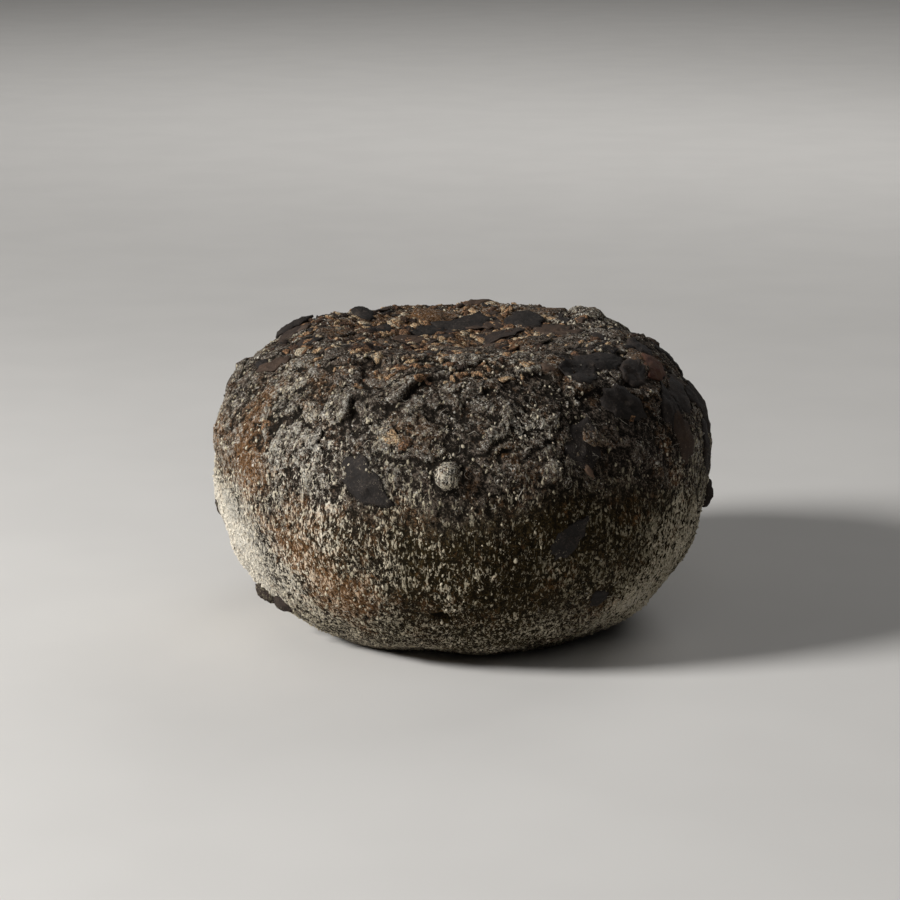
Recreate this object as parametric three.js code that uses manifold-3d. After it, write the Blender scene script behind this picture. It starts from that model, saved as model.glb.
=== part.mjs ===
// A small round wheel of pecorino, aged in grape pomace, lying on its flat base.
// Lengths are millimetres, +Z is up, and the origin is under the middle of the base.
// The wheel's front faces -Y. A place on the rind is given by two angles in degrees, seen from the
// middle of the widest ring: its bearing, from the front round towards +X, and its rise above level.
import * as THREE from "three";
import { mergeVertices } from "three/addons/utils/BufferGeometryUtils.js";
import Module from "manifold-3d";

// Driving dimensions of the wheel
const wheelWidth = 148.5;
const wheelHeight = 88;
const widestHeight = 48;
const lowerReach = 55.3;
const upperReach = 45.7;
const lowerRoundness = 2.4;
const upperRoundness = 2.65;
const rimRadius = 45;
const dishDepth = 4;

// Slow swells that make the wheel uneven: how many, their depth and their range of pitch
const swellCount = 18;
const swellDepth = 0.26;
const swellPitch = [5, 27];

// Grape skins that the rule below spreads over the rind, and the window in front that it leaves
// to the pieces placed by hand
const skinCount = 72;
const skinRise = [-14, 74];
const skinLength = [9, 18];
const skinShape = [0.5, 0.75];
const skinStand = [0.5, 1.2];
const skinTilt = 0.07;
const skinRaggedness = 0.16;
const frontWindow = { bearing: 62, rise: 38 };

// Facets of the wheel and of each piece that is fused to it
const wheelDetail = 12;
const pieceSides = 9;
const pieceRings = 4;
const edgeShare = 0.3;

const goldenAngle = 180 * (3 - Math.sqrt(5));
const middle = new THREE.Vector3(0, 0, widestHeight);
const blend = THREE.MathUtils.lerp;
const radians = THREE.MathUtils.degToRad;

// Pieces placed by hand. Length lies along the turn, which is counted from level, and stand is how
// far the piece rises from the rind. Tilt lifts the edge on the turn's left side and sinks the other.
const placedPieces = [
  { name: "flat black skin", bearing: -21, rise: 8, length: 17, width: 9.5, turn: -40, stand: 0.7, tilt: 0 },
  { name: "pip under the mould", bearing: -3, rise: 11, length: 7.5, width: 7, turn: 70, stand: 2.6, tilt: 0 },
  { name: "second pip", bearing: 20, rise: 11, length: 7, width: 5.5, turn: 40, stand: 1.6, tilt: 0 },
  { name: "long ledge", bearing: -17, rise: 29, length: 37, width: 12, turn: 34, stand: 1.5, tilt: -0.1 },
  { name: "shoulder knob", bearing: -35, rise: 33, length: 9, width: 8, turn: 0, stand: 2.4, tilt: 0 },
  { name: "left crust", bearing: -44, rise: 22, length: 16, width: 11, turn: 60, stand: 0.9, tilt: 0 },
  { name: "orange crumb", bearing: -15, rise: 18, length: 10, width: 5.5, turn: -25, stand: 1.2, tilt: 0 },
  { name: "oval skin", bearing: 29, rise: 16, length: 14, width: 11, turn: 60, stand: 0.7, tilt: 0 },
  { name: "stalk end", bearing: 29, rise: 10, length: 8, width: 3.5, turn: -60, stand: 1.3, tilt: 0 },
  { name: "shoulder skin", bearing: 45, rise: 23, length: 15, width: 10, turn: -35, stand: 1.0, tilt: 0.05 },
  { name: "red skin", bearing: 69, rise: 29, length: 17, width: 10, turn: 10, stand: 1.4, tilt: 0.12 },
  { name: "torn skin", bearing: 71, rise: 21, length: 20, width: 14, turn: 20, stand: 1.3, tilt: -0.08 },
  { name: "side skin", bearing: 86, rise: 14, length: 26, width: 15, turn: 80, stand: 1.4, tilt: 0 },
  { name: "low skin", bearing: 24, rise: -4, length: 13, width: 8, turn: 50, stand: 0.6, tilt: 0 },
  { name: "square scrap", bearing: 35, rise: -21, length: 7, width: 6, turn: 20, stand: 0.6, tilt: 0 },
  { name: "side berry", bearing: 88, rise: -7, length: 9, width: 6.5, turn: 80, stand: 2.6, tilt: 0 },
  { name: "low stalk", bearing: -65, rise: -28, length: 9, width: 5, turn: -30, stand: 2.2, tilt: 0 },
  { name: "lower stalk", bearing: -56, rise: -29, length: 8, width: 4.5, turn: -20, stand: 2.0, tilt: 0 },
  { name: "left pip", bearing: -88, rise: -10, length: 7, width: 5, turn: 75, stand: 1.4, tilt: 0 },
  { name: "back edge skin", bearing: -112, rise: 33, length: 17, width: 11, turn: 5, stand: 2.2, tilt: 0.1 },
  { name: "dish skin", bearing: 178, rise: 58, length: 18, width: 10, turn: 12, stand: 1.6, tilt: -0.12 },
  { name: "right dish skin", bearing: 137, rise: 53, length: 16, width: 12, turn: -15, stand: 1.5, tilt: -0.1 },
  { name: "back knob", bearing: 125, rise: 40, length: 12, width: 9, turn: 0, stand: 2.6, tilt: 0 },
];

// A repeatable draw from 0 to 1 for piece number and purpose
function draw(number, purpose) {
  const wave = Math.sin(number * 12.9898 + purpose * 78.233) * 43758.5453;
  return wave - Math.floor(wave);
}

function directionOf(bearing, rise) {
  const level = Math.cos(radians(rise));
  return new THREE.Vector3(
    level * Math.sin(radians(bearing)),
    -level * Math.cos(radians(bearing)),
    Math.sin(radians(rise)),
  );
}

// Each swell is a wave across the wheel in its own direction, shallower where its pitch is finer.
const swells = Array.from({ length: swellCount }, (_, number) => {
  const pitch = blend(...swellPitch, (number + 0.5) / swellCount);
  const rise = 90 - (180 * (number + 0.5)) / swellCount;
  return {
    across: directionOf(number * goldenAngle, rise).multiplyScalar(pitch),
    phase: 2 * Math.PI * draw(number, 1),
    depth: swellDepth * Math.sqrt(swellPitch[0] / pitch),
  };
});

function swellAt(direction) {
  return swells.reduce((sum, { across, phase, depth }) => sum + depth * Math.sin(across.dot(direction) + phase), 0);
}

// How far the rind lies from the middle in a direction: a rounded curve, cut by the dished top and
// by the flat base.
function rindDistance(direction) {
  const level = Math.hypot(direction.x, direction.y);
  const rise = Math.abs(direction.z);
  const above = direction.z > 0;
  const roundness = above ? upperRoundness : lowerRoundness;
  const share = level / (wheelWidth / 2);
  const climb = rise / (above ? upperReach : lowerReach);
  const rounded = (share ** roundness + climb ** roundness) ** (-1 / roundness) + swellAt(direction);
  if (!above) return Math.min(rounded, widestHeight / Math.max(rise, 1e-9));
  const flatTop = wheelHeight - widestHeight + swellAt(direction);
  const spread = Math.min((flatTop / rise) * (level / rimRadius), 1);
  const dish = dishDepth * (1 - spread ** 2) ** 2;
  return Math.min(rounded, (flatTop - dish) / rise);
}

function rindPoint(direction) {
  return direction.clone().multiplyScalar(rindDistance(direction)).add(middle);
}

// The rind's point at a bearing and rise, with the level, climbing and outward directions there
function rindFrame(bearing, rise) {
  const step = 0.5;
  const at = (turn, lift) => rindPoint(directionOf(bearing + turn, rise + lift));
  const along = at(step, 0).sub(at(-step, 0)).normalize();
  const up = at(0, step).sub(at(0, -step));
  const outward = along.clone().cross(up).normalize();
  return { point: at(0, 0), along, up: outward.clone().cross(along), outward };
}

// How far a piece's outline strays from an oval, from -1 to 1
function raggedEdge(around, number) {
  const wide = Math.sin(2 * around + 2 * Math.PI * draw(number, 8));
  const narrow = Math.sin(3 * around + 2 * Math.PI * draw(number, 9));
  return (wide + narrow) / 2;
}

// A low flake that follows the rind, with its edge part of the way up: a grape skin, a pip or a crumb
function pieceGeometry({ bearing, rise, length, width, turn, stand, tilt }, number) {
  const frame = rindFrame(bearing, rise);
  const lengthwise = frame.along.clone().applyAxisAngle(frame.outward, radians(turn));
  const crosswise = frame.outward.clone().cross(lengthwise);
  const geometry = new THREE.SphereGeometry(1, pieceSides, pieceRings).rotateX(Math.PI / 2);
  const place = geometry.getAttribute("position");
  const local = new THREE.Vector3();
  for (let index = 0; index < place.count; index++) {
    local.fromBufferAttribute(place, index);
    const around = Math.atan2(local.y, local.x);
    const ragged = 1 + skinRaggedness * raggedEdge(around, number);
    const onward = (ragged * local.x * length) / 2;
    const aside = (ragged * local.y * width) / 2;
    const height = Math.sign(local.z) * Math.sqrt(Math.abs(local.z));
    const point = frame.point.clone();
    point.addScaledVector(lengthwise, onward).addScaledVector(crosswise, aside);
    const settled = rindPoint(point.sub(middle).normalize());
    settled.addScaledVector(frame.outward, stand * (edgeShare + (1 - edgeShare) * height) + tilt * aside);
    place.setXYZ(index, settled.x, settled.y, settled.z);
  }
  return geometry;
}

function wheelGeometry() {
  const geometry = new THREE.IcosahedronGeometry(1, wheelDetail);
  const place = geometry.getAttribute("position");
  const local = new THREE.Vector3();
  for (let index = 0; index < place.count; index++) {
    const settled = rindPoint(local.fromBufferAttribute(place, index).normalize());
    place.setXYZ(index, settled.x, settled.y, settled.z);
  }
  return geometry;
}

// Skins lie on a spiral that spreads them evenly, each with its own draws of size, turn and tilt.
function spreadSkins() {
  const [lowest, highest] = skinRise.map((angle) => Math.sin(radians(angle)));
  const spread = Array.from({ length: skinCount }, (_, number) => {
    const length = blend(...skinLength, draw(number, 2));
    const level = (number + draw(number, 3)) / skinCount;
    return {
      bearing: ((number * goldenAngle + 180) % 360) - 180,
      rise: THREE.MathUtils.radToDeg(Math.asin(blend(lowest, highest, level))),
      length,
      width: length * blend(...skinShape, draw(number, 4)),
      turn: 180 * draw(number, 5),
      stand: blend(...skinStand, draw(number, 6)),
      tilt: skinTilt * (2 * draw(number, 7) - 1),
    };
  });
  return spread.filter(
    ({ bearing, rise }) => Math.abs(bearing) > frontWindow.bearing || rise > frontWindow.rise,
  );
}

// Fusing: a closed geometry becomes a solid, and the joined solid becomes a geometry again
const wasm = await Module();
wasm.setup();

function solidOf(geometry) {
  geometry.deleteAttribute("normal");
  geometry.deleteAttribute("uv");
  const merged = mergeVertices(geometry, 1e-3);
  return new wasm.Manifold(
    new wasm.Mesh({
      numProp: 3,
      vertProperties: merged.getAttribute("position").array,
      triVerts: new Uint32Array(merged.index.array),
    }),
  );
}

function geometryOf(solid) {
  const { vertProperties, triVerts } = solid.getMesh();
  const geometry = new THREE.BufferGeometry();
  geometry.setAttribute("position", new THREE.BufferAttribute(vertProperties, 3));
  geometry.setIndex(new THREE.BufferAttribute(triVerts, 1));
  geometry.computeVertexNormals();
  return geometry;
}

const pieces = [...placedPieces, ...spreadSkins()];
const wheelSolid = pieces.reduce(
  (joined, piece, number) => joined.add(solidOf(pieceGeometry(piece, number))),
  solidOf(wheelGeometry()),
);

const rindMaterial = new THREE.MeshStandardMaterial({ color: 0x4d443c, roughness: 0.9, metalness: 0 });
const wheel = new THREE.Mesh(geometryOf(wheelSolid), rindMaterial);
wheel.name = "pecorino_wheel";

const pecorino = new THREE.Group();
pecorino.add(wheel);

export default pecorino;
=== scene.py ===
# Wine-aged pecorino: a small round wheel in a dark crust of grape skins, pale with mould.
# Lengths are millimetres until a mesh is made. A place on the rind is a bearing, in degrees from the
# front round to the right, and a rise above the level of the widest ring.
import math
from functools import lru_cache

import bmesh
import bpy
import numpy as np
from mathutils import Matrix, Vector, noise


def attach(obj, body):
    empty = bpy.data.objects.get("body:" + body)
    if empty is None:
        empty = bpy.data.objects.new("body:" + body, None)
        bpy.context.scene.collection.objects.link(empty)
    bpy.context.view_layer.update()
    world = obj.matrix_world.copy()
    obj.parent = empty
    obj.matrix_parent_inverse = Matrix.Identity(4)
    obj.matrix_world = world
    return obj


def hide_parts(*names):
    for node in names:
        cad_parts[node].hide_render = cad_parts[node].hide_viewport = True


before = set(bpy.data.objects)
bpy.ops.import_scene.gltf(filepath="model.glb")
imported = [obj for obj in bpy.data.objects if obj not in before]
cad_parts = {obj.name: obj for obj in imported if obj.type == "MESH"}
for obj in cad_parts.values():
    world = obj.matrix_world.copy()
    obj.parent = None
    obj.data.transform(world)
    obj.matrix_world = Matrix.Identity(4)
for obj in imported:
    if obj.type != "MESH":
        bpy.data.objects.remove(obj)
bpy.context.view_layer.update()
wheelNode = "pecorino_wheel"
metresPerMm = 0.001
goldenAngle = 180 * (3 - math.sqrt(5))
print("frame loaded:", sorted(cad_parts))

# the wheel's form, as its solid has it
wheel = {
    "width": 148.5, "height": 88, "widestHeight": 48,
    "lowerReach": 55.3, "upperReach": 45.7,
    "lowerRoundness": 2.4, "upperRoundness": 2.65,
    "rimRadius": 45, "dishDepth": 4,
    "swellCount": 18, "swellDepth": 0.26, "swellPitch": (5, 27),
}
middle = np.array([0, 0, wheel["widestHeight"]])


def draw(number, purpose):  # a repeatable draw from 0 to 1
    wave = np.sin(number * 12.9898 + purpose * 78.233) * 43758.5453
    return wave - np.floor(wave)


def blend(low, high, share):
    return low + (high - low) * share


def easeStep(low, high, value):
    share = np.clip((value - low) / (high - low), 0, 1)
    return share * share * (3 - 2 * share)


def unit(vectors):
    return vectors / np.linalg.norm(vectors, axis=-1, keepdims=True)


def directionOf(bearing, rise):
    bearing, rise = np.radians(bearing), np.radians(rise)
    level = np.cos(rise)
    return np.stack([level * np.sin(bearing), -level * np.cos(bearing), np.sin(rise) + 0 * bearing], -1)


def bearingOf(points):
    return np.degrees(np.arctan2(points[:, 0], -points[:, 1]))


def makeSwells():
    numbers = np.arange(wheel["swellCount"])
    share = (numbers + 0.5) / wheel["swellCount"]
    pitch = blend(*wheel["swellPitch"], share)
    across = directionOf(numbers * goldenAngle, 90 - 180 * share) * pitch[:, None]
    depth = wheel["swellDepth"] * np.sqrt(wheel["swellPitch"][0] / pitch)
    return across, 2 * math.pi * draw(numbers, 1), depth


swells = makeSwells()


def rindDistance(directions):
    across, phase, depth = swells
    swell = np.sin(directions @ across.T + phase) @ depth
    level = np.hypot(directions[:, 0], directions[:, 1])
    rise = np.maximum(np.abs(directions[:, 2]), 1e-9)
    above = directions[:, 2] > 0
    roundness = np.where(above, wheel["upperRoundness"], wheel["lowerRoundness"])
    reach = np.where(above, wheel["upperReach"], wheel["lowerReach"])
    curve = (level / (wheel["width"] / 2)) ** roundness + (rise / reach) ** roundness
    rounded = curve ** (-1 / roundness) + swell
    flatTop = wheel["height"] - wheel["widestHeight"] + swell
    spread = np.minimum(flatTop / rise * level / wheel["rimRadius"], 1)
    dished = flatTop - wheel["dishDepth"] * (1 - spread ** 2) ** 2
    limit = np.where(above, dished, wheel["widestHeight"]) / rise
    return np.minimum(rounded, limit)


def rindBase(directions):
    return middle + directions * rindDistance(directions)[:, None]


def rindOutward(directions):  # the smooth wheel's normal in each direction
    step = 0.012
    steep = np.abs(directions[:, 2:]) > 0.9
    side = unit(np.cross(directions, np.where(steep, [[1.0, 0, 0]], [[0, 0, 1.0]])))
    other = np.cross(directions, side)
    tangents = [rindBase(unit(directions + step * way)) - rindBase(unit(directions - step * way))
                for way in (side, other)]
    outward = unit(np.cross(*tangents))
    return outward * np.sign(np.sum(outward * directions, 1))[:, None]


@lru_cache(maxsize=None)
def rindFrame(bearing, rise):
    direction = directionOf(np.array([bearing]), np.array([rise]))
    outward = rindOutward(direction)[0]
    along = unit(np.array([np.cos(np.radians(bearing)), np.sin(np.radians(bearing)), 0]))
    along = unit(along - outward * (along @ outward))
    return rindBase(direction)[0], along, np.cross(outward, along), outward


# the crust's own forms: plates of grape skin, knobs over buried pips, ledges that drop on their lower
# side, and pits. Each placed one is a bearing, rise, length, width, turn and stand
crust = {
    "seed": 4, "from": 46, "to": 68, "flatFoot": 9,
    "lumpSize": 12, "lumpHeight": 0.6,
    "plateSize": 8.5, "plateHeight": 0.5, "crackDepth": 0.3, "crackWidth": 0.07, "lowPlates": 0.12,
    "warpSize": 6, "warp": 3.4, "frayWarpSize": 1.8, "frayWarp": 0.6,
    "chipSize": 3.3, "chipHeight": 0.22,
    "cragSize": 2.2, "cragHeight": 0.28, "lowCrags": 0.35,
    "grainSize": 1.4, "grainHeight": 0.32, "grainStretch": 0.55, "highGrain": 0.7,
    "wrap": 12,  # how far a form reaches round the wheel
    "knobPower": 0.6, "knobSmoothing": 0.25,
    "ledgeWaves": [(0.35, 3.1), (0.2, 7.3)], "ledgeDrop": (-0.16, 0.03), "ledgeEnds": (1.0, 0.35),
    "ledgeFade": (1.25, 0.1), "lip": (0.08, 0.1), "gap": (-0.2, 0.14), "ledgeHighlightAndShadow": 0.35,
    "knobs": [
        (-3, 11, 8.6, 7.8, 70, 3.4), (20, 11, 7.4, 6.4, 40, 1.5), (-35, 33, 9.5, 8.5, 0, 2.4),
        (125, 40, 13, 10, 0, 2.6), (-22, 24, 9, 7, 30, 1.3), (12, 27, 12, 8, 10, 1.0),
        (33, 30, 10, 7, 40, 1.1), (-70, 24, 10, 8, 10, 1.3), (165, 8, 9, 8, 60, 2.2),
        (-140, 14, 8, 7, 20, 2.2),
    ],
    "ledges": [
        (-17, 30, 40, 15, 34, 2.4), (-44, 22, 18, 12, 60, 1.4), (40, 29, 24, 12, -20, 1.1),
        (-8, 41, 60, 10, 2, 1.1), (50, 6, 26, 10, 84, 1.1), (-120, 27, 34, 14, -20, 1.4),
        (130, 21, 30, 13, 25, 1.3), (-170, 31, 36, 13, 8, 1.3), (66, 14, 24, 12, 70, 1.2),
        (-36, 37, 24, 9, 14, 2.0), (-27, 25, 17, 9, 42, 1.7), (4, 31, 20, 9, -12, 1.2),
        (9, 20, 22, 10, 32, 0.9), (27, 36, 22, 9, -6, 1.3), (-58, 31, 22, 10, 20, 1.3),
        (55, 22, 20, 10, -40, 1.1), (-12, 15, 24, 9, 10, 0.8), (100, 30, 26, 11, 10, 1.2),
        (160, 14, 24, 10, -15, 1.0), (-90, 22, 24, 11, 25, 1.1), (-145, 19, 26, 11, 12, 1.1),
    ],
    "pits": [(-5, -23, 5.2, 3.2, 0, 2.4), (-48, -24, 3.5, 2.5, 40, 1.0), (150, -20, 5, 3, 10, 1.5)],
}
noise.seed_set(crust["seed"])  # or the plates would bend another way in each run


def localSpots(points, bearing, rise, length, width, turn):
    origin, along, up, outward = rindFrame(bearing, rise)
    angle = np.radians(turn)
    onward = along * np.cos(angle) + up * np.sin(angle)
    aside = np.cross(outward, onward)
    away = points - origin
    facing = (away @ outward) > -crust["wrap"]
    return away @ onward / (length / 2), away @ aside / (width / 2), facing


def grainedRelief(points):  # the crust's broad lumps, and the plates, cracks and grain on them
    lumps, grained = np.zeros(len(points)), np.zeros(len(points))
    for index, point in enumerate(points):
        spot = Vector(point)
        upright = Vector((point[0], point[1], point[2] * crust["grainStretch"]))
        lumps[index] = noise.fractal(spot / crust["lumpSize"], 1.0, 2.1, 2) * crust["lumpHeight"]
        warp = noise.noise_vector(spot / crust["warpSize"]) * crust["warp"]
        warp += noise.noise_vector(spot / crust["frayWarpSize"]) * crust["frayWarp"]
        distances, corners = noise.voronoi((spot + warp) / crust["plateSize"])
        gap = (distances[1] - distances[0]) / crust["crackWidth"]
        plate = noise.cell(corners[0] * 3.7) * crust["plateHeight"]
        chipCorners = noise.voronoi((spot + 0.5 * warp) / crust["chipSize"])[1]
        plate += noise.cell(chipCorners[0] * 5.3) * crust["chipHeight"]
        crack = -crust["crackDepth"] * math.exp(-gap * gap)
        crag = noise.ridged_multi_fractal(spot / crust["cragSize"], 0.9, 2.1, 3, 0.9, 1.6) - 1.1
        grain = noise.fractal(upright / crust["grainSize"], 0.8, 2.1, 2) * crust["grainHeight"]
        upper = min(max((point[2] - crust["from"]) / (crust["to"] - crust["from"]), 0), 1)
        grained[index] = (
            (plate + crack) * blend(crust["lowPlates"], 1, upper)
            + crag * crust["cragHeight"] * blend(crust["lowCrags"], 1, upper)
            + grain * blend(1, crust["highGrain"], upper))
    return lumps, grained


def crustRelief(points):  # its height over the smooth wheel, and its roughness alone, with painted shade in pits and painted light and shadow at ledges
    lumps, grained = grainedRelief(points)
    heights = lumps + grained
    for bearing, rise, length, width, turn, stand in crust["knobs"]:
        onward, aside, facing = localSpots(points, bearing, rise, length, width, turn)
        dome = np.clip(1 - onward ** 2 - aside ** 2, 0, 1) ** crust["knobPower"]
        dome = np.where(facing, dome, 0)
        heights += stand * dome - crust["knobSmoothing"] * grained * dome
    for bearing, rise, length, width, turn, depth in crust["pits"]:
        onward, aside, facing = localSpots(points, bearing, rise, length, width, turn)
        hollow = np.where(facing, np.exp(-(onward ** 2 + aside ** 2) ** 2), 0)
        heights -= depth * hollow
        # painted shade: the pit also lowers the share the finish reads, so it is painted darker
        grained -= hollow
    for bearing, rise, length, width, turn, stand in crust["ledges"]:
        onward, aside, facing = localSpots(points, bearing, rise, length, width, turn)
        for (swing, waves), phase in zip(crust["ledgeWaves"], (bearing, turn)):
            aside = aside + swing * np.sin(waves * onward + phase)
        drop = easeStep(*crust["ledgeDrop"], aside)
        ends = np.where(facing, easeStep(*crust["ledgeEnds"], np.abs(onward)), 0)
        heights += stand * drop * ends * easeStep(*crust["ledgeFade"], aside)
        lip, gap = (np.exp(-((aside - place) / spread) ** 2)
                    for place, spread in (crust["lip"], crust["gap"]))
        grained += crust["ledgeHighlightAndShadow"] * (lip - 2 * gap) * ends  # a painted highlight along the ledge's edge over a painted shadow in the gap below it
    settle = easeStep(0, crust["flatFoot"], points[:, 2])  # the base stays flat
    return heights * settle, grained * settle


def crustSurface(directions):
    base, outward = rindBase(directions), rindOutward(directions)
    points = base + outward * crustRelief(base)[0][:, None]
    points[:, 2] = np.maximum(points[:, 2], 0)
    return points, outward


# mould, how white it is, rust and olive: what the whole rind has, low and high, then patches of
# bearing, rise, radius and amount
zones = {
    "mould": {
        "low": 0.43, "high": 0.27, "from": 44, "to": 74, "drift": 0.10, "driftSize": 9,
        "patches": [
            (-68, -13, 18, 0.24), (-84, -20, 24, 0.26), (-48, -27, 17, 0.08), (50, -27, 14, 0.14),
            (0, 90, 44, -0.2), (118, 45, 15, 0.16), (-20, 41, 8, 0.1), (0, 43, 9, 0.12),
            (20, 43, 9, 0.1), (68, 30, 24, -0.09), (16, 21, 6, 0.16), (2, 18, 9, 0.06),
            (-14, 12, 10, 0.08), (-38, 11, 12, 0.03), (-33, 17, 5, 0.10), (-57, 9, 12, -0.12),
            # (4, 9, 4, -0.3) is a painted shadow to the right of the knob, and (-5, -23, 3, -0.5) painted
            # shade in the pit
            (-3, 11.5, 4, 0.24), (4, 9, 4, -0.3), (-5, -23, 3, -0.5), (-42, 43, 14, -0.24),
            (20, 11, 4, 0.04), (-17, 20, 5, 0.1), (-50, 26, 18, 0.15), (40, 8, 20, -0.11),
            (24, -4, 6, -0.16), (35, -21, 4, -0.4), (0, -3, 22, -0.09), (12, -17, 18, -0.08),
            (55, 12, 3, 0.08), (56, 6, 3, 0.1), (57, 0, 3, 0.08), (29, 16, 7, 0.12),
            (62, -14, 18, 0.13), (150, -14, 26, 0.2), (118, -24, 20, 0.14), (-150, -20, 24, 0.14),
            (-100, 10, 16, 0.1), (165, 16, 6, 0.3), (-132, 22, 5, 0.3),
        ],
    },
    "white": {
        "low": 0.36, "high": 0.34, "from": 44, "to": 74, "drift": 0.12, "driftSize": 9,
        "patches": [
            (-40, 11, 14, 0.32), (-68, -13, 20, 0.36), (-84, -20, 26, 0.4), (-45, -17, 20, 0.22),
            (-28, 0, 14, 0.18), (-3, 11.5, 5, 0.3), (16, 21, 7, 0.3), (20, 11, 5, 0.12),
            (-33, 17, 6, 0.2), (0, 42, 14, 0.14), (34, -6, 26, -0.2), (62, -14, 16, 0.1),
            (50, -27, 14, 0.15), (55, 12, 4, 0.2), (56, 5, 4, 0.2), (150, -14, 28, 0.35),
            (-150, -20, 24, 0.2), (165, 16, 8, 0.25), (-132, 22, 8, 0.25), (118, 45, 12, 0.2),
        ],
    },
    "rust": {
        "low": 0.26, "high": 0.34, "from": 44, "to": 86, "drift": 0.26, "driftSize": 11,
        "patches": [
            (-58, 8, 13, 0.55), (-78, 10, 10, 0.35), (-38, -8, 13, 0.55), (-28, -20, 12, 0.45),
            (178, 52, 24, 0.24), (-140, 54, 24, 0.26), (54, 12, 4, 0.45), (56, 5, 4, 0.45),
            (69, 29, 8, 0.4), (-100, -6, 14, 0.3), (-58, 26, 9, 0.25), (140, 0, 15, 0.3),
            (-165, 4, 14, 0.3),
        ],
    },
    "olive": {
        "low": 0.55, "high": 0.12, "from": 42, "to": 64, "drift": 0.2, "driftSize": 20,
        "patches": [(5, -16, 26, 0.35), (35, -2, 24, 0.25), (-62, -10, 26, -0.5), (-160, -7, 24, 0.3)],
    },
}


def zoneAmount(points, zone):
    amount = blend(zone["low"], zone["high"], easeStep(zone["from"], zone["to"], points[:, 2]))
    shift = Vector((zone["driftSize"], 3 * zone["low"], 0))
    amount += zone["drift"] * np.array(
        [noise.fractal(Vector(point) / zone["driftSize"] + shift, 1.0, 2.0, 3) for point in points])
    for bearing, rise, radius, strength in zone["patches"]:
        spot = rindBase(directionOf(np.array([bearing]), np.array([rise])))[0]
        away = np.linalg.norm(points - spot, axis=1) / radius
        amount += strength * np.exp(-away ** 2)
    return np.clip(amount, 0, 1)


# meshes
def newPiece(name, points, faces, finish, smooth=True):
    mesh = bpy.data.meshes.new(name)
    mesh.from_pydata((points * metresPerMm).tolist(), [], faces.tolist())
    mesh.polygons.foreach_set("use_smooth", [smooth] * len(mesh.polygons))
    mesh.materials.append(finish)
    piece = bpy.data.objects.new(name, mesh)
    bpy.context.scene.collection.objects.link(piece)
    return piece


def setShare(piece, name, values):
    share = piece.data.attributes.new(name, "FLOAT", "POINT")
    share.data.foreach_set("value", np.asarray(values, np.float32))


def cubeDirections(cells):  # a cube's faces, bent to a sphere, with the seams joined
    ticks = np.tan(np.linspace(-math.pi / 4, math.pi / 4, cells + 1))
    across, down = np.meshgrid(ticks, ticks, indexing="ij")
    flat = np.stack([across.ravel(), down.ravel(), np.ones(across.size)], 1)
    axes = np.eye(3)
    turns = [np.array([axes[side - 2], way * axes[side - 1], way * axes[side]])
             for side in range(3) for way in (1, -1)]
    corner = np.arange(cells * (cells + 1)).reshape(cells, cells + 1)[:, :-1].ravel()
    quads = np.stack([corner, corner + cells + 1, corner + cells + 2, corner + 1], 1)
    points = np.concatenate([flat @ turn for turn in turns])
    faces = np.concatenate([quads + number * len(flat) for number in range(len(turns))])
    _, first, inverse = np.unique(np.round(points, 6), axis=0, return_index=True, return_inverse=True)
    return unit(points[first]), inverse.ravel()[faces]


# shader boards
class Wire:  # a socket that Python's operators work on
    def __init__(self, finish, socket):
        self.finish, self.socket = finish, socket

    def math(self, operation, first, second):
        return self.finish.node("ShaderNodeMath", {"operation": operation}, {0: first, 1: second})

    def __add__(self, other):
        return self.math("ADD", self, other)

    def __sub__(self, other):
        return self.math("SUBTRACT", self, other)

    def __rsub__(self, other):
        return self.math("SUBTRACT", other, self)

    def __mul__(self, other):
        return self.math("MULTIPLY", self, other)

    __radd__, __rmul__ = __add__, __mul__


class Finish:
    def __init__(self, name):
        self.material = bpy.data.materials.new(name)
        self.material.use_nodes = True
        self.tree = self.material.node_tree
        self.tree.nodes.clear()

    def node(self, kind, settings=None, sockets=None, output=0):
        made = self.tree.nodes.new(kind)
        for name, value in (settings or {}).items():
            if name == "stops":
                self.setStops(made.color_ramp, value)
            else:
                setattr(made, name, value)
        for name, value in (sockets or {}).items():
            if isinstance(value, Wire):
                self.tree.links.new(value.socket, made.inputs[name])
            else:
                made.inputs[name].default_value = value
        return Wire(self, made.outputs[output]) if made.outputs else made

    def setStops(self, ramp, stops):
        while len(ramp.elements) < len(stops):
            ramp.elements.new(1)
        for element, (place, colour) in zip(ramp.elements, stops):
            element.position, element.color = place, colour

    def share(self, name):
        return self.node("ShaderNodeAttribute", {"attribute_name": name}, output="Fac")

    def place(self, stretch=(1, 1, 1)):  # millimetres on the piece; a low value stretches marks
        spot = self.node("ShaderNodeTexCoord", output="Object")
        scale = tuple(value / metresPerMm for value in stretch)
        return self.node("ShaderNodeVectorMath", {"operation": "MULTIPLY"}, {0: spot, 1: scale})

    def grain(self, spot, size, detail=3, roughness=0.55, distortion=0.0):
        return self.node("ShaderNodeTexNoise", {}, {
            "Vector": spot, "Scale": 1 / size, "Detail": detail, "Roughness": roughness,
            "Distortion": distortion})

    def ease(self, low, high, value):
        return self.node("ShaderNodeMapRange", {"interpolation_type": "SMOOTHSTEP"}, {
            "Value": value, "From Min": low, "From Max": high})

    def mix(self, share, first, second):
        return self.node("ShaderNodeMix", {"data_type": "RGBA"}, {0: share, 6: first, 7: second}, 2)

    def relief(self, height, depth, under=None):
        sockets = {"Height": height, "Distance": depth * metresPerMm, "Strength": 1.0}
        if under:
            sockets["Normal"] = under
        return self.node("ShaderNodeBump", {}, sockets)

    def surface(self, colour, roughness, normal, **fixed):
        sockets = {"Base Color": colour, "Roughness": roughness, "Normal": normal}
        sockets.update({name.replace("_", " "): value for name, value in fixed.items()})
        shader = self.node("ShaderNodeBsdfPrincipled", {}, sockets)
        self.node("ShaderNodeOutputMaterial", {}, {"Surface": shader})
        return self.material


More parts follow.
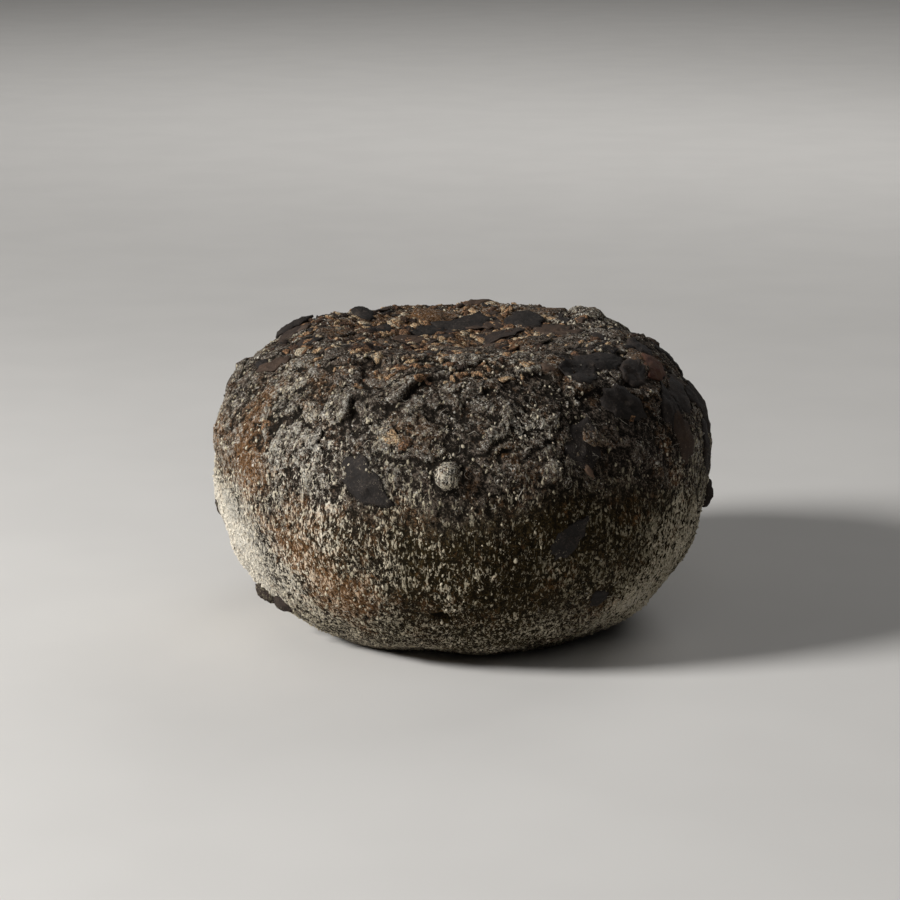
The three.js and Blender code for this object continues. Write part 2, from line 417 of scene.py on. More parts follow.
rindColours = {
    "pitch": (0.0115, 0.0091, 0.0066, 1), "bark": (0.155, 0.122, 0.096, 1),
    "ash": (0.43, 0.405, 0.355, 1),
    "rust": (0.068, 0.029, 0.009, 1), "ochre": (0.27, 0.138, 0.056, 1), "peach": (0.55, 0.365, 0.235, 1),
    "moss": (0.0095, 0.0066, 0.0024, 1), "olive": (0.052, 0.035, 0.0125, 1),
    "straw": (0.25, 0.217, 0.148, 1), "cream": (0.56, 0.495, 0.37, 1), "chalk": (0.72, 0.655, 0.54, 1),
    "frostAndHighlight": (0.80, 0.765, 0.69, 1),
}
rindMarks = {
    "fleckSize": 0.72, "dustSize": 0.75, "stretch": 0.38, "crumbSize": 2.2, "fineSize": 0.62,
    "tipSize": 0.6, "fleckRelief": 1.2, "crumbRelief": 0.8,
}


def rindFinish():
    finish = Finish("pomaceRind")
    colour, marks = rindColours, rindMarks
    spot = finish.place()
    upright = finish.place((1, 1, marks["stretch"]))
    mould, white, rust, olive, relief = (finish.share(name) for name in [*zones, "relief"])
    # dark crust of skins, olive low down and rusty in patches; darker in its hollows as painted shade,
    # and paler and rustier where it stands out as painted light
    broad = finish.grain(spot, 6, 4, 0.6, 0.4)
    crumb = finish.grain(spot, marks["crumbSize"], 4, 0.65, 0.8)
    fine = finish.grain(spot, marks["fineSize"], 3, 0.7, 0.4)
    tone = finish.ease(0.50, 0.66, 0.1 * broad + 0.2 * crumb + 0.6 * fine + 0.2 * relief)
    ground = finish.mix(tone, colour["pitch"], colour["bark"])
    damp = finish.mix(tone, colour["moss"], colour["olive"])
    ground = finish.mix(finish.ease(0.3, 0.8, olive + 0.6 * crumb - 0.3), ground, damp)
    warmth = finish.ease(0.50, 0.72, 0.45 * rust + 0.7 * finish.grain(spot, 2.4, 5, 0.7, 1.2))
    warm = finish.mix(finish.ease(0.40, 0.62, fine), colour["rust"], colour["ochre"])
    ground = finish.mix(0.75 * warmth * finish.ease(0.1, 0.5, relief), ground, warm)
    # fine dust of mould, then flecks that stand off the crust
    dust = finish.ease(0.0, 0.04, finish.grain(spot, marks["dustSize"], 3, 0.65, 1.2) + 0.32 * mould
                       + 0.3 * relief + 0.08 * broad - 0.25 * olive - 0.86)
    drift = 0.1 * broad + 0.1 * crumb + 0.2 * relief - 0.2
    fleck = finish.ease(0.0, 0.035, finish.grain(upright, marks["fleckSize"], 3, 0.62, 1.0) + drift
                        + 0.5 * mould - 0.735)
    pale = finish.mix(finish.ease(0.2, 0.5, white + 0.6 * fine - 0.3), colour["straw"], colour["cream"])
    pale = finish.mix(finish.ease(0.45, 0.8, white + 0.6 * fine - 0.3), pale, colour["chalk"])
    pale = finish.mix(0.75 * warmth, pale, colour["peach"])
    tint = finish.mix(0.85 * dust, ground, finish.mix(0.3, colour["ash"], pale))
    tint = finish.mix(fleck * finish.ease(0.2, 0.5, fine + 0.2 * mould), tint, pale)
    # pale tips of mould, partly painted highlights on spots that stand out
    tipAndHighlight = finish.ease(0.0, 0.05, finish.grain(spot, marks["tipSize"], 2, 0.6, 0.8) + 0.4 * relief
                      + 0.24 * mould + 0.08 * crumb - 0.18 * olive - 0.92)
    tint = finish.mix(0.9 * tipAndHighlight, tint, finish.mix(0.3, colour["frostAndHighlight"], pale))
    # relief: crumbs, then mould on top of them
    rough = finish.relief(0.5 * crumb + 0.6 * fine, marks["crumbRelief"])
    normal = finish.relief(0.6 * fleck + 0.4 * dust + 0.4 * tipAndHighlight, marks["fleckRelief"], rough)
    return finish.surface(tint, 0.8 + 0.15 * fleck, normal, Specular_IOR_Level=0.06)


rindMesh = {
    "cells": 178, "seam": 45, "smoothing": 5, "edgeLimits": (-0.3, 0.13),
    "level": 0.5, "grainShare": 0.3, "edgeShare": 1.3,
}


def shadeShares(piece, points, relief):  # what the rind's finish reads at each corner
    for name, zone in zones.items():
        setShare(piece, name, zoneAmount(points, zone))
    setShare(piece, "relief", relief)


def smoothed(values, faces):  # means over the faces around each corner, a few times
    corners = faces.ravel()
    shares = np.bincount(corners)
    for _ in range(rindMesh["smoothing"]):
        means = np.repeat(values[faces].mean(1), faces.shape[1])
        values = np.bincount(corners, weights=means) / shares
    return values


def makeRind(finish):  # in two pieces, above and below a level seam
    directions, faces = cubeDirections(rindMesh["cells"])
    base, outward = rindBase(directions), rindOutward(directions)
    heights, grained = crustRelief(base)
    points = base + outward * heights[:, None]
    points[:, 2] = np.maximum(points[:, 2], 0)
    sharp = np.clip(heights - smoothed(heights, faces), *rindMesh["edgeLimits"])
    relief = rindMesh["level"] + rindMesh["grainShare"] * grained + rindMesh["edgeShare"] * sharp
    relief = np.clip(relief, 0, 1)  # 1 stands out, 0 lies in a hollow: the finish paints hollows darker as shade and what stands out paler as light
    high = points[faces].mean(1)[:, 2] > rindMesh["seam"]
    for name, chosen in (("upperRind", faces[high]), ("lowerRind", faces[~high])):
        corners, own = np.unique(chosen, return_inverse=True)
        rind = newPiece(name, points[corners], own.reshape(chosen.shape), finish)
        shadeShares(rind, points[corners], relief[corners])
        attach(rind, "root")
        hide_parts(wheelNode)
        print(name, "made:", len(chosen), "faces")


pomaceRind = rindFinish()
makeRind(pomaceRind)


def frameAround(outward, turn):  # for each outward direction, one along the turn, one aside, one out
    flat = np.abs(outward[:, 2:]) > 0.97
    along = unit(np.cross(np.where(flat, [[0, 1.0, 0]], [[0, 0, 1.0]]), outward))
    up = np.cross(outward, along)
    turn = np.radians(turn)[:, None]
    onward = along * np.cos(turn) + up * np.sin(turn)
    return np.stack([onward, np.cross(outward, onward), outward], 1)


def scatter(count, chance, purpose):  # an even spiral over the rind, thinned by a chance
    numbers = np.arange(count)
    rise = np.degrees(np.arcsin(1 - 2 * (numbers + draw(numbers, purpose)) / count))
    bearing = numbers * goldenAngle + 60 * draw(numbers, purpose + 1)
    directions = directionOf(bearing, rise)
    kept = draw(numbers, purpose + 2) < chance(rindBase(directions))
    points, outward = crustSurface(directions[kept])
    return numbers[kept], points, outward


def crowding(kind, points):  # few at low levels and more at high ones, none at the foot
    level = points[:, 2]
    return blend(*kind["crowd"], easeStep(*kind["levels"], level)) * easeStep(*kind["foot"], level)


def ball(rings):
    made = bmesh.new()
    bmesh.ops.create_icosphere(made, subdivisions=rings, radius=1)
    points = np.array([vertex.co for vertex in made.verts])
    faces = np.array([[vertex.index for vertex in face.verts] for face in made.faces])
    made.free()
    return points, faces


def dome(sides):  # a low rounded body of few faces, with its rim sunk in the rind
    around = 2 * math.pi * np.arange(sides) / sides
    rim = np.stack([np.cos(around), np.sin(around), np.full(sides, -0.6)], 1)
    corner = np.arange(sides)
    sloped = np.stack([corner, (corner + 1) % sides, np.full(sides, sides)], 1)
    under = np.stack([np.zeros(sides - 2, int), corner[2:], corner[1:-1]], 1)
    return np.concatenate([rim, [[0, 0, 1.0]]]), np.concatenate([sloped, under])


def setBodies(body, numbers, origin, axes, sizes, rough):  # one rough copy of a body at each place
    points, faces = body
    corners = np.arange(len(points))[None] + numbers[:, None] * 7.31
    knocked = points[None] * (1 + rough * (2 * draw(corners, 21) - 1))[..., None]
    placed = origin[:, None] + np.einsum("nkc,ncd->nkd", knocked * sizes[:, None], axes)
    joined = faces[None] + (np.arange(len(origin)) * len(points))[:, None, None]
    return placed.reshape(-1, 3), joined.reshape(-1, faces.shape[1])


def onRind(piece):
    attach(piece, "root")
    print(piece.name, "made:", len(piece.data.polygons), "faces")


# grape skins: placed ones by bearing, rise, length, width, turn, stand, tilt, taper and tint. Half of the
# others have become part of the crust
skins = {
    "placed": [
        (-21, 8, 18, 10.5, -38, 0.45, 0, 0.5, 0.1), (29, 16, 15, 11, 60, 0.3, 0, 0, 0.2),
        (45, 23, 15, 10, -35, 0.9, 0.05, 0.2, 0.15), (69, 29, 17, 10, 10, 1.5, 0.12, 0, 0.9),
        (71, 21, 17, 11, 20, 1.0, -0.08, 0.2, 0.3), (86, 14, 18, 11, 80, 1.1, 0, 0.1, 0.3),
        (24, -4, 15, 7, 50, 0.2, 0, 0.2, 0.05), (35, -21, 6.5, 6, 45, 0.3, 0, 0, 0.0),
        (-112, 33, 17, 11, 5, 2.2, 0.1, 0, 0.2), (178, 58, 18, 10, 12, 1.6, -0.12, 0.3, 0.1),
        (137, 53, 16, 12, -15, 1.5, -0.1, 0, 0.1), (57, 30, 14, 9, 25, 1.2, 0.06, 0, 0.35),
        (78, 6, 18, 11, 70, 1.0, 0.05, 0, 0.3), (61, 13, 16, 7, 80, 0.9, -0.05, 0.3, 0.55),
        (50, 36, 18, 10, -10, 0.7, 0.05, 0.1, 0.15), (38, 34, 15, 10, 30, 0.5, 0, 0.1, 0.2),
        (61, 20, 15, 8, 60, 0.8, 0.05, 0.2, 0.2), (83, 34, 15, 9, 0, 1.0, 0.05, 0.1, 0.3),
        (99, 24, 14, 9, 40, 1.0, 0.06, 0.1, 0.25),
    ],
    "count": 72, "rise": (-14, 74), "length": (9, 18), "shape": (0.5, 0.75), "stand": (0.5, 1.2),
    "tilt": 0.07, "taper": 0.2, "tint": 0.7, "window": (62, 38), "crustShare": 0.5, "lowestBare": 12,
    "raggedness": 0.16, "nicks": [(0.08, 7), (0.06, 11)], "tear": 0.06, "leaf": 0.25, "thickness": 0.45,
    "curl": 1.0, "curlLength": 12, "crease": 0.22, "creaseSize": 2.6, "creaseLength": 10, "lowest": 0.2,
    "relief": 0.62, "rings": 5, "sides": 26,
}
scraps = {
    "count": 1300, "crowd": (0.04, 0.9), "levels": (58, 86), "foot": (16, 30), "length": (1.8, 8),
    "shape": (0.45, 0.85), "stand": (0.15, 0.5), "tilt": 0.16, "taper": 0.3, "tear": 0.3,
    "bare": 0.5, "bareTint": 0.55, "rings": 3, "sides": 13,
}


def beyondWindow(rows):  # the front shows only the placed skins
    return (np.abs(rows[:, 0]) > skins["window"][0]) | (rows[:, 1] > skins["window"][1])


def spreadSkins():
    numbers = np.arange(skins["count"])
    low, high = (math.sin(math.radians(angle)) for angle in skins["rise"])
    length = blend(*skins["length"], draw(numbers, 2))
    rise = np.degrees(np.arcsin(blend(low, high, (numbers + draw(numbers, 3)) / skins["count"])))
    bearing = (numbers * goldenAngle + 180) % 360 - 180
    shape = blend(*skins["shape"], draw(numbers, 4))
    rows = np.stack([bearing, rise, length, length * shape, 180 * draw(numbers, 5),
                     blend(*skins["stand"], draw(numbers, 6)), skins["tilt"] * (2 * draw(numbers, 7) - 1),
                     skins["taper"] * (2 * draw(numbers, 9) - 1),
                     skins["tint"] * draw(numbers, 10) ** 2], 1)
    return rows[beyondWindow(rows)]


def spreadScraps():
    def chance(points):
        return crowding(scraps, points)

    numbers, points, _ = scatter(scraps["count"], chance, 40)
    away = unit(points - middle)
    length = blend(*scraps["length"], draw(numbers, 43) ** 1.5)
    return np.stack([bearingOf(away), np.degrees(np.arcsin(away[:, 2])), length,
                     length * blend(*scraps["shape"], draw(numbers, 44)), 180 * draw(numbers, 45),
                     blend(*scraps["stand"], draw(numbers, 46)),
                     scraps["tilt"] * (2 * draw(numbers, 47) - 1),
                     scraps["taper"] * (2 * draw(numbers, 49) - 1), draw(numbers, 48) ** 1.6], 1)


def discGrid(rings, sides):  # a round grid: how far out and round each corner is, and its triangles
    out = np.concatenate([[0], np.repeat(np.arange(1, rings + 1) / rings, sides)])
    around = np.concatenate([[0], np.tile(2 * math.pi * np.arange(sides) / sides, rings)])
    corner, after = np.arange(sides), (np.arange(sides) + 1) % sides
    faces = [np.stack([0 * corner, 1 + corner, 1 + after], 1)]
    for ring in range(rings - 1):
        inner, outer = 1 + ring * sides, 1 + (ring + 1) * sides
        faces.append(np.stack([inner + corner, outer + corner, outer + after], 1))
        faces.append(np.stack([inner + corner, outer + after, inner + after], 1))
    return out, around, np.concatenate(faces)


def skinBody(row, number, rings, sides, tear):
    bearing, rise, length, width, turn, stand, tilt, taper, _ = row
    origin, along, up, outward = rindFrame(bearing, rise)
    angle = math.radians(turn)
    lengthwise = along * math.cos(angle) + up * math.sin(angle)
    crosswise = np.cross(outward, lengthwise)
    out, around, faces = discGrid(rings, sides)
    wide, narrow = (np.sin(waves * around + 2 * math.pi * draw(number, 6 + waves)) for waves in (2, 3))
    nicks = sum(depth * np.sin(waves * around + 6 * draw(number, 11 + order))
                for order, (depth, waves) in enumerate(skins["nicks"]))
    torn = tear * (2 * draw(np.round(around * sides) + 17.3 * number, 16) - 1)
    ragged = out * (1 + skins["raggedness"] * (wide + narrow) / 2 + (nicks + torn) * out ** 2)
    onward = ragged * np.cos(around) * length / 2
    aside = ragged * np.sin(around) * np.abs(np.sin(around)) ** skins["leaf"] * width / 2
    aside *= 1 - taper * out * np.cos(around)
    spots = origin + onward[:, None] * lengthwise + aside[:, None] * crosswise
    settled, _ = crustSurface(unit(spots - middle))
    lifted = np.clip(np.sin(around + 2 * math.pi * draw(number, 13)), 0, 1) ** 2 * draw(number, 14)
    crease = np.array([noise.noise(Vector(spot) / skins["creaseSize"]) for spot in spots])
    height = stand * (0.4 + 0.6 * (1 - out ** 4)) + tilt * aside
    height += skins["curl"] * min(1, length / skins["curlLength"]) * lifted * out ** 3
    height += skins["crease"] * min(1, length / skins["creaseLength"]) * crease
    top = settled + outward * height[:, None]
    under = settled + outward * (height - skins["thickness"] * (1.5 - 0.9 * out * lifted))[:, None]
    rim = 1 + (rings - 1) * sides + np.arange(sides)
    after = 1 + (rings - 1) * sides + (np.arange(sides) + 1) % sides
    lowRim, lowAfter = rim + len(top), after + len(top)
    edge = [np.stack([rim, lowRim, lowAfter], 1), np.stack([rim, lowAfter, after], 1)]
    return np.concatenate([top, under]), np.concatenate([faces, faces[:, ::-1] + len(top), *edge])


skinColours = [
    (0.0, (0.022, 0.0195, 0.018, 1)), (0.3, (0.033, 0.027, 0.024, 1)), (0.6, (0.066, 0.044, 0.032, 1)),
    (0.8, (0.10, 0.058, 0.035, 1)), (1.0, (0.080, 0.028, 0.021, 1)),
]


def skinFinish():
    finish = Finish("grapeSkin")
    spot = finish.place()
    tint, mould = finish.share("tint"), finish.share("mould")
    fine = finish.grain(spot, 0.6, 3, 0.65, 0.5)
    patch = finish.grain(spot, 3, 4, 0.65, 0.6)
    skin = finish.node("ShaderNodeValToRGB", {"stops": skinColours}, {"Fac": tint + 0.5 * patch - 0.25})
    skin = finish.mix(finish.ease(0.5, 0.72, 0.4 * patch + 0.6 * fine) * 0.4, skin, rindColours["bark"])
    dust = finish.ease(0.0, 0.14, finish.grain(spot, 0.7, 3, 0.65, 0.6) + 0.36 * mould
                       + 0.2 * patch - 0.83)
    colour = finish.mix(0.7 * dust, skin, rindColours["cream"])
    folds = finish.relief(patch + 0.3 * fine, 0.5)
    normal = finish.relief(dust + 0.6 * fine, 0.25, folds)
    return finish.surface(colour, 0.55 + 0.25 * patch, normal, Specular_IOR_Level=0.08)


def joinSkins(name, rows, finish, rings, sides, tear=0.0):
    points, faces, tints, total = [], [], [], 0
    for number, row in enumerate(rows):
        body, triangles = skinBody(row, number, rings, sides, tear)
        points.append(body)
        faces.append(triangles + total)
        tints.append(np.full(len(body), row[-1]))
        total += len(body)
    points = np.concatenate(points)
    points[:, 2] = np.maximum(points[:, 2], skins["lowest"])
    piece = newPiece(name, points, np.concatenate(faces), finish)
    setShare(piece, "tint", np.concatenate(tints))
    shadeShares(piece, points, np.full(len(points), skins["relief"]))
    onRind(piece)


def makeSkins():
    spread = spreadSkins()
    crusted = draw(np.arange(len(spread)), 15) < skins["crustShare"]
    crusted |= spread[:, 1] < skins["lowestBare"]
    dark = np.concatenate([np.array(skins["placed"], float), spread[~crusted]])
    grapeSkin = skinFinish()
    joinSkins("grapeSkins", dark, grapeSkin, skins["rings"], skins["sides"], skins["tear"])
    joinSkins("crustedSkins", spread[crusted], pomaceRind, skins["rings"], skins["sides"])
    rows = spreadScraps()
    bare = (draw(np.arange(len(rows)), 17) < scraps["bare"]) & beyondWindow(rows)
    rows[bare, -1] *= scraps["bareTint"]
    for name, chosen, finish in (("skinScraps", bare, grapeSkin), ("crustScraps", ~bare, pomaceRind)):
        joinSkins(name, rows[chosen], finish, scraps["rings"], scraps["sides"], scraps["tear"])


makeSkins()

# small bits that make the crust rough
bits = {
    "count": 10000, "crowd": (0.08, 0.8), "levels": (48, 72), "foot": (6, 16), "length": (0.6, 2.4),
    "shape": (0.4, 0.9), "height": (0.35, 0.7), "relief": (0.3, 0.9), "rough": 0.35, "sides": 6,
}


def makeBits():
    def chance(points):
        return crowding(bits, points)

    numbers, origin, outward = scatter(bits["count"], chance, 140)
    length = blend(*bits["length"], draw(numbers, 143) ** 2)
    sizes = np.stack([length, length * blend(*bits["shape"], draw(numbers, 144)),
                      length * blend(*bits["height"], draw(numbers, 145))], 1) / 2
    axes = frameAround(outward, 360 * draw(numbers, 146))
    points, faces = setBodies(dome(bits["sides"]), numbers, origin, axes, sizes, bits["rough"])
    piece = newPiece("crustBits", points, faces, pomaceRind, smooth=False)
    relief = blend(*bits["relief"], draw(numbers, 147))
    shadeShares(piece, points, np.repeat(relief, len(points) // len(numbers)))
    onRind(piece)


makeBits()

# torn scraps of pomace and curd, most of them on the top, and those placed one by one as skins are
crumbs = {
    "placed": [
        (-16.5, 18.5, 7.5, 4.2, -20, 0.35, 0.12, 0.4, 0.88), (-12.8, 17, 3.6, 3, 10, 0.8, 0, 0, 0.62),
        (-30, 30, 3.4, 2, 20, 0.4, 0.1, 0, 0.78), (14, 34, 5, 2.2, 5, 0.5, -0.1, 0.2, 0.85),
        (-12, 33, 4, 2.2, 30, 0.4, 0, 0, 0.7), (0, 36, 4.4, 2.2, 20, 0.5, 0.1, 0, 0.75),
        (46, 20, 3.4, 2.2, 30, 0.6, 0, 0, 0.7), (-52, 17, 4, 2.4, 60, 0.4, 0, 0, 0.7),
    ],
    "count": 8500, "crowd": (0.003, 0.8), "levels": (81.5, 86), "foot": (10, 26),
    "thinning": (0, 35), "thinned": 0.25,  # fewer towards the right
    "length": (1.0, 4.8), "shape": (0.35, 0.9), "stand": (0.25, 0.9), "tilt": 0.35,
    "fullStand": 3, "taper": 0.3, "rings": 2, "sides": 8, "tear": 0.32,
    "colours": [
        (0.0, (0.020, 0.014, 0.012, 1)), (0.35, (0.065, 0.042, 0.032, 1)),
        (0.55, (0.17, 0.095, 0.060, 1)), (0.74, (0.43, 0.235, 0.120, 1)),
        (0.9, (0.64, 0.46, 0.27, 1)), (1.0, (0.74, 0.64, 0.48, 1)),
    ],
}


def crumbFinish():
    finish = Finish("pomaceCrumb")
    spot = finish.place()
    patch, fine = finish.grain(spot, 1.2, 4, 0.7, 0.6), finish.grain(spot, 0.4, 2, 0.6)
    tint = finish.share("tint") + 0.9 * patch - 0.45
    colour = finish.node("ShaderNodeValToRGB", {"stops": crumbs["colours"]}, {"Fac": tint})
    colour = finish.mix(finish.ease(0.56, 0.44, fine) * 0.8, colour, rindColours["pitch"])
    dust = finish.ease(0.0, 0.06, finish.grain(spot, 0.7, 3, 0.65, 0.8)
                       + 0.3 * finish.share("mould") - 0.71)
    colour = finish.mix(0.7 * dust, colour, rindColours["ash"])
    normal = finish.relief(patch + 0.7 * fine, 0.8)
    return finish.surface(colour, 0.7 + 0.2 * fine, normal, Specular_IOR_Level=0.1)


def makeCrumbs():
    def chance(points):
        rightward = easeStep(*crumbs["thinning"], points[:, 0])
        return crowding(crumbs, points) * blend(1, crumbs["thinned"], rightward)

    numbers, points, _ = scatter(crumbs["count"], chance, 60)
    away = unit(points - middle)
    length = blend(*crumbs["length"], draw(numbers, 63) ** 2)
    stand = blend(*crumbs["stand"], draw(numbers, 66))
    spread = np.stack([bearingOf(away), np.degrees(np.arcsin(away[:, 2])), length,
                       length * blend(*crumbs["shape"], draw(numbers, 64)), 360 * draw(numbers, 65),
                       stand * np.minimum(1, length / crumbs["fullStand"]),
                       crumbs["tilt"] * (2 * draw(numbers, 68) - 1),
                       crumbs["taper"] * (2 * draw(numbers, 69) - 1), draw(numbers, 67) ** 0.5], 1)
    rows = np.concatenate([np.array(crumbs["placed"], float), spread])
    joinSkins("pomaceCrumbs", rows, crumbFinish(), crumbs["rings"], crumbs["sides"], crumbs["tear"])


makeCrumbs()

# raised grains of mould
grains = {
    "count": 44000, "length": (0.7, 2.2), "shape": (0.35, 0.75), "height": (0.3, 0.6), "rough": 0.42,
    "lean": 48, "sides": 7, "crowd": 1.3, "crowdPower": 1.7, "foot": (1, 6), "lowest": 0.1,
}


def grainFinish():
    finish = Finish("mouldGrain")
    colour, spot = rindColours, finish.place()
    white, tint, crown = finish.share("white"), finish.share("tint"), finish.share("crown")
    fine = finish.grain(spot, 0.5, 3, 0.65, 0.6)
    pale = finish.mix(finish.ease(0.2, 0.5, white + 0.3 * tint - 0.15), colour["straw"], colour["cream"])
    pale = finish.mix(finish.ease(0.45, 0.8, white + 0.3 * tint - 0.15), pale, colour["chalk"])
    worn = finish.ease(0.06, 0.32, crown + 1.4 * fine - 0.7)  # dark where the edge is worn off
    tinted = finish.mix(worn, colour["olive"], pale)
    return finish.surface(tinted, 0.9, finish.relief(fine, 0.3), Specular_IOR_Level=0.06)


def makeGrains(finish):
    def chance(points):
        share = zoneAmount(points, zones["mould"])
        return grains["crowd"] * share ** grains["crowdPower"] * easeStep(*grains["foot"], points[:, 2])

    numbers, origin, outward = scatter(grains["count"], chance, 80)
    length = blend(*grains["length"], draw(numbers, 83) ** 1.6)
    sizes = np.stack([length, length * blend(*grains["shape"], draw(numbers, 84)),
                      length * blend(*grains["height"], draw(numbers, 85))], 1) / 2
    axes = frameAround(outward, 90 + grains["lean"] * (2 * draw(numbers, 86) - 1))
    body = dome(grains["sides"])
    points, faces = setBodies(body, numbers, origin, axes, sizes, grains["rough"])
    points[:, 2] = np.maximum(points[:, 2], grains["lowest"])
    piece = newPiece("mouldGrains", points, faces, finish)
    setShare(piece, "white", np.repeat(zoneAmount(origin, zones["white"]), len(body[0])))
    setShare(piece, "tint", np.repeat(draw(numbers, 87), len(body[0])))
    setShare(piece, "crown", np.tile(body[0][:, 2] > 0, len(numbers)))
    onRind(piece)


makeGrains(grainFinish())

# pips and ends of stalk: bearing, rise, length, width, height, turn, tint
pips = {
    "placed": [
        (29, 10, 5, 1.8, 2.0, -60, 0.4), (88, -7, 9, 6.5, 5.4, 80, 0.05),
        (-65, -28, 9, 4.5, 4.2, -30, 0.08), (-56, -29, 8, 4, 3.8, -20, 0.08),
        (-88, -10, 7, 4.6, 3.0, 75, 0.1),
    ],
    "count": 40, "crowd": (0.25, 0.9), "levels": (50, 86), "window": 75, "dishLevel": 84,
    "length": (4, 6), "shape": (0.55, 0.7), "flatness": 0.7, "narrowing": 0.28, "rough": 0.16,
    "raised": 0.1, "lowest": 0.1, "tint": 0.4, "rings": 3,
    "colours": [
        (0.0, (0.026, 0.020, 0.018, 1)), (0.3, (0.075, 0.053, 0.040, 1)), (0.6, (0.20, 0.115, 0.072, 1)),
        (0.8, (0.36, 0.22, 0.11, 1)),
    ],
}


def pipFinish():
    finish = Finish("pipAndStalk")
    spot = finish.place()
    patch, fine = finish.grain(spot, 1.6, 4, 0.65), finish.grain(spot, 0.35, 2, 0.6)
    tint = finish.node("ShaderNodeValToRGB", {"stops": pips["colours"]},
                       {"Fac": finish.share("tint") + 0.4 * patch - 0.2})
    dust = finish.ease(0.0, 0.14, finish.grain(spot, 0.6, 3, 0.65, 0.6)
                       + 0.4 * finish.share("mould") - 0.76)
    colour = finish.mix(0.6 * dust, tint, rindColours["straw"])
    normal = finish.relief(patch + 0.5 * fine + 0.3 * dust, 0.45)
    return finish.surface(colour, 0.75, normal, Specular_IOR_Level=0.1)


def makePips():
    def chance(points):
        side = np.abs(bearingOf(points)) > pips["window"]
        crowd = blend(*pips["crowd"], easeStep(*pips["levels"], points[:, 2]))
        return np.where(side | (points[:, 2] > pips["dishLevel"]), crowd, 0)

    numbers, origin, outward = scatter(pips["count"], chance, 100)
    length = blend(*pips["length"], draw(numbers, 103))
    width = length * blend(*pips["shape"], draw(numbers, 104))
    spreadSizes = np.stack([length, width, width * pips["flatness"]], 1) / 2
    rows = np.array(pips["placed"], float)
    placedPoints, placedOutward = crustSurface(directionOf(rows[:, 0], rows[:, 1]))
    sizes = np.concatenate([rows[:, 2:5] / 2, spreadSizes])
    origin, outward = np.concatenate([placedPoints, origin]), np.concatenate([placedOutward, outward])
    turn = np.concatenate([rows[:, 5], 360 * draw(numbers, 105)])
    tints = np.concatenate([rows[:, 6], pips["tint"] * draw(numbers, 106)])
    points, faces = ball(pips["rings"])
    points[:, 1:] *= 1 - pips["narrowing"] * points[:, :1]  # narrower at one end
    order = np.arange(len(origin))
    centre = origin + outward * (pips["raised"] * sizes[:, 2:])
    axes = frameAround(outward, turn)
    laid, joined = setBodies((points, faces), order, centre, axes, sizes, pips["rough"])
    laid[:, 2] = np.maximum(laid[:, 2], pips["lowest"])
    piece = newPiece("pipsAndStalks", laid, joined, pipFinish())
    setShare(piece, "tint", np.repeat(tints, len(points)))
    setShare(piece, "mould", np.repeat(zoneAmount(origin, zones["mould"]), len(points)))
    onRind(piece)


makePips()

# fine threads of mould that lie over the crust
threads = {
    "count": 1300, "crowd": (0.1, 0.75), "levels": (46, 70), "foot": (4, 14), "length": (1.5, 6),
    "width": (0.08, 0.18), "steps": 7, "bend": 55, "gap": 0.08, "lift": 0.25, "blunt": 0.15,
    "colour": (0.46, 0.42, 0.35, 1),
}


def makeThreads():
    def chance(points):
        return crowding(threads, points)

    numbers, origin, outward = scatter(threads["count"], chance, 120)
    length = blend(*threads["length"], draw(numbers, 123) ** 2)
    width = blend(*threads["width"], draw(numbers, 124))
    steps = threads["steps"]
    heading = 360 * draw(numbers, 125)
    path, place = [], origin
    for step in range(steps + 1):
        directions = unit(place - middle)
        settled, outward = crustSurface(directions)
        lift = threads["lift"] * np.sin(math.pi * step / steps) * draw(numbers, 126)
        path.append(settled + outward * (threads["gap"] + lift)[:, None])
        heading = heading + threads["bend"] * (2 * draw(numbers + 0.37 * step, 127) - 1)
        place = settled + frameAround(outward, heading)[:, 0] * (length / steps)[:, None]
    path = np.stack(path, 1)
    onward = unit(np.gradient(path, axis=1))
    out = unit(path - middle)
    aside = unit(np.cross(onward, out))
    swelling = np.sin(np.linspace(threads["blunt"], math.pi - threads["blunt"], steps + 1))
    taper = swelling[None, :, None] * width[:, None, None] / 2
    around = [aside, np.cross(aside, onward), -aside]
    rings = np.stack([path + way * taper for way in around], 2).reshape(-1, 3)
    number, step, side = np.meshgrid(np.arange(len(path)), np.arange(steps), np.arange(3), indexing="ij")
    first = (number * (steps + 1) + step) * 3
    corner, after = (first + side).ravel(), (first + (side + 1) % 3).ravel()
    faces = np.stack([corner, after, after + 3, corner + 3], 1)
    finish = Finish("mouldThread")
    normal = finish.relief(finish.grain(finish.place(), 0.4, 2), 0.02)
    piece = newPiece("mouldThreads", rings, faces, finish.surface(threads["colour"], 0.9, normal))
    onRind(piece)


makeThreads()

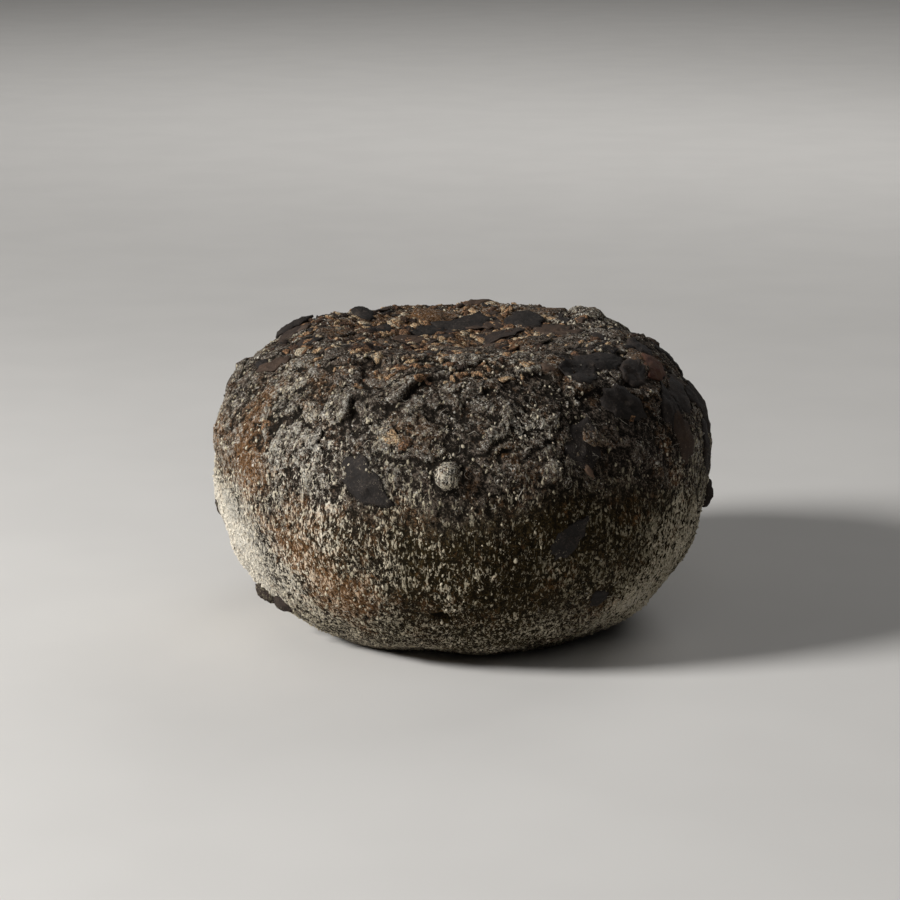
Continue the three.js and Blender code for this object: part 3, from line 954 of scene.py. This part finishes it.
# floor, light and camera
studio = {
    "floorSize": 16000, "floorColour": (0.66, 0.64, 0.61, 1),
    "world": (0.32, 0.32, 0.32, 1), "worldStrength": 0.09,
    "lights": [  # name, place, target, size, watts
        ("key", (-68, 30, 1300), middle, 330, 22), ("fill", (25, 55, 1600), middle, 1500, 2.3),
        ("back", (145, 38, 1400), middle, 900, 4), ("farFloor", (180, 42, 2200), (0, 3600, 0), 2400, 20),
    ],
}
camera = {"rise": 14, "distance": 750, "lens": 98.8, "sensor": 36, "aim": (-3.3, 0, 51.2)}


def makeFloor():
    finish = Finish("paleFloor")
    spot = finish.place()
    tone = finish.mix(finish.ease(0.3, 0.7, finish.grain(spot, 60, 2)), studio["floorColour"],
                      tuple(0.97 * value for value in studio["floorColour"][:3]) + (1,))
    normal = finish.relief(finish.grain(spot, 1.2, 2), 0.02)
    half = studio["floorSize"] / 2
    corners = np.array([(-half, -half, 0), (half, -half, 0), (half, half, 0), (-half, half, 0)])
    floor = newPiece("floor", corners, np.array([[0, 1, 2, 3]]), finish.surface(tone, 0.85, normal))


def aimAt(thing, place, target):
    thing.location = Vector(place) * metresPerMm
    thing.rotation_mode = "QUATERNION"
    thing.rotation_quaternion = (Vector(target) - Vector(place)).to_track_quat("-Z", "Y")


def makeLights():
    for name, (bearing, rise, distance), target, size, watts in studio["lights"]:
        light = bpy.data.lights.new(name, "AREA")
        light.shape, light.size, light.energy = "DISK", size * metresPerMm, watts
        lamp = bpy.data.objects.new(name, light)
        bpy.context.scene.collection.objects.link(lamp)
        aimAt(lamp, middle + directionOf(np.array([bearing]), np.array([rise]))[0] * distance, target)
    world = bpy.data.worlds.new("studio")
    world.use_nodes = True
    ground = world.node_tree.nodes["Background"]
    ground.inputs["Color"].default_value = studio["world"]
    ground.inputs["Strength"].default_value = studio["worldStrength"]
    bpy.context.scene.world = world


def makeCamera():
    lens = bpy.data.cameras.new("camera")
    lens.lens, lens.sensor_width = camera["lens"], camera["sensor"]
    eye = bpy.data.objects.new("camera", lens)
    bpy.context.scene.collection.objects.link(eye)
    back = directionOf(np.array([0.0]), np.array([camera["rise"]]))[0]
    aimAt(eye, np.array(camera["aim"]) + back * camera["distance"], camera["aim"])
    bpy.context.scene.camera = eye


makeFloor()
makeLights()
makeCamera()
print("studio made:", len(studio["lights"]), "lights")
bpy.context.scene.view_settings.view_transform = "Standard"
